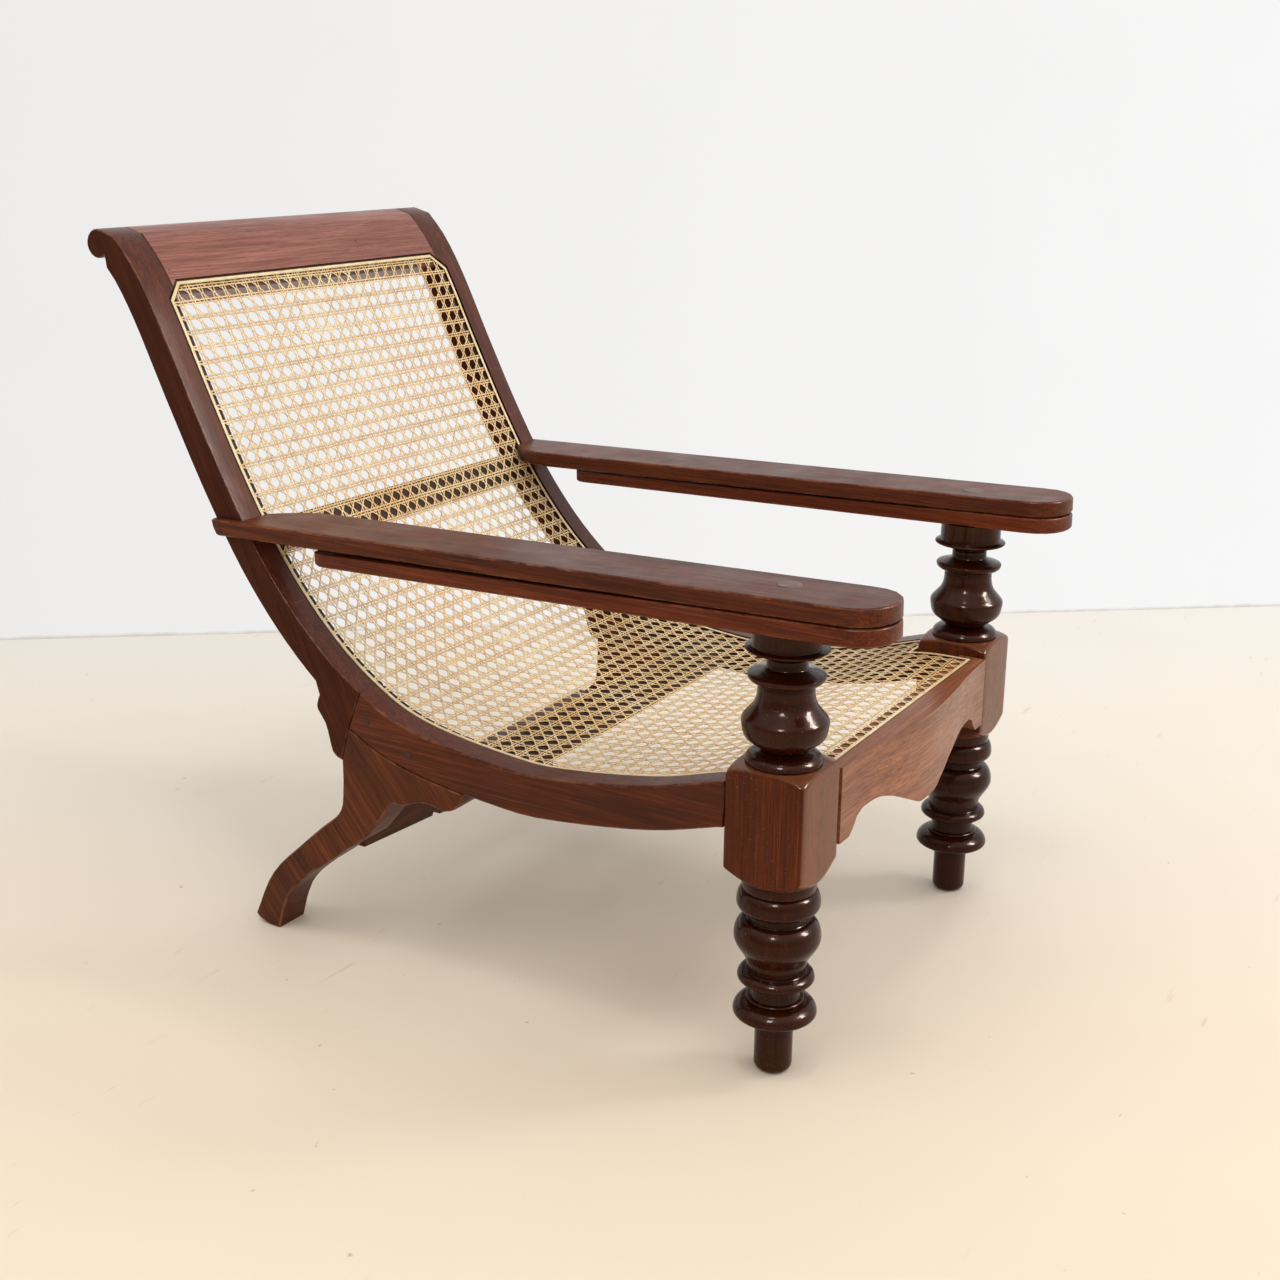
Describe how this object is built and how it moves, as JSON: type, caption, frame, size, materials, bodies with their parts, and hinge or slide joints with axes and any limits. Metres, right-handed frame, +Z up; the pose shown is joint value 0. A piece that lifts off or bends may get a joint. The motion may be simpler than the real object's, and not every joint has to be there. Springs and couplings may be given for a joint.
{
  "type": "planters chair",
  "caption": "Low reclining planter's chair in red-brown hardwood with a curved woven cane seat, turned front legs and paddle arms that hide swing-out leg rests.",
  "frame": {"origin": "centre of the footprint's bounding box, on the floor", "axes": "+Z up, -Y is the way the sitter faces, +X is towards the sitter's left"},
  "size_m": [0.7228, 1.2042, 0.974],
  "materials": {
    "wood_dark": "polished, rubbed at the edges",
    "wood_turned": "glossy polish",
    "wood_light": "polished, sun-lightened and rubbed",
    "peg_wood": "end grain, dull",
    "cane": "natural cane, slightly glossy skin",
    "cane_binding": "natural cane, slightly glossy skin"
  },
  "bodies": {
    "frame": {"right_front_leg": "wood_turned", "right_stile": "wood_dark", "right_seat_rail": "wood_dark", "right_rear_leg": "wood_dark", "right_arm": "wood_light", "right_arm_plug": "peg_wood", "right_scarf_peg": "peg_wood", "right_leg_peg": "peg_wood", "right_arm_peg_1": "peg_wood", "right_arm_peg_2": "peg_wood", "left_front_leg": "wood_turned", "left_stile": "wood_dark", "left_seat_rail": "wood_dark", "left_rear_leg": "wood_dark", "left_arm": "wood_light", "left_arm_plug": "peg_wood", "left_scarf_peg": "peg_wood", "left_leg_peg": "peg_wood", "left_arm_peg_1": "peg_wood", "left_arm_peg_2": "peg_wood", "front_rail": "wood_light", "crest_rail": "wood_light", "rear_stretcher": "wood_dark", "lower_back_rail": "wood_dark", "seat_cross_rail": "wood_dark", "cane_panel": "cane", "cane_binding": "cane_binding"},
    "right_leg_rest": {"right_leg_rest": "wood_dark"},
    "left_leg_rest": {"left_leg_rest": "wood_dark"}
  },
  "joints": [
    {"name": "right_leg_rest_swing", "type": "hinge", "parent": "frame", "child": "right_leg_rest", "pos_m": [-0.298, -0.46161, 0.597], "axis": [0, 0.029, 0.9996], "range_deg": [0, 180]},
    {"name": "left_leg_rest_swing", "type": "hinge", "parent": "frame", "child": "left_leg_rest", "pos_m": [0.298, -0.46161, 0.597], "axis": [0, -0.029, -0.9996], "range_deg": [0, 180]}
  ]
}
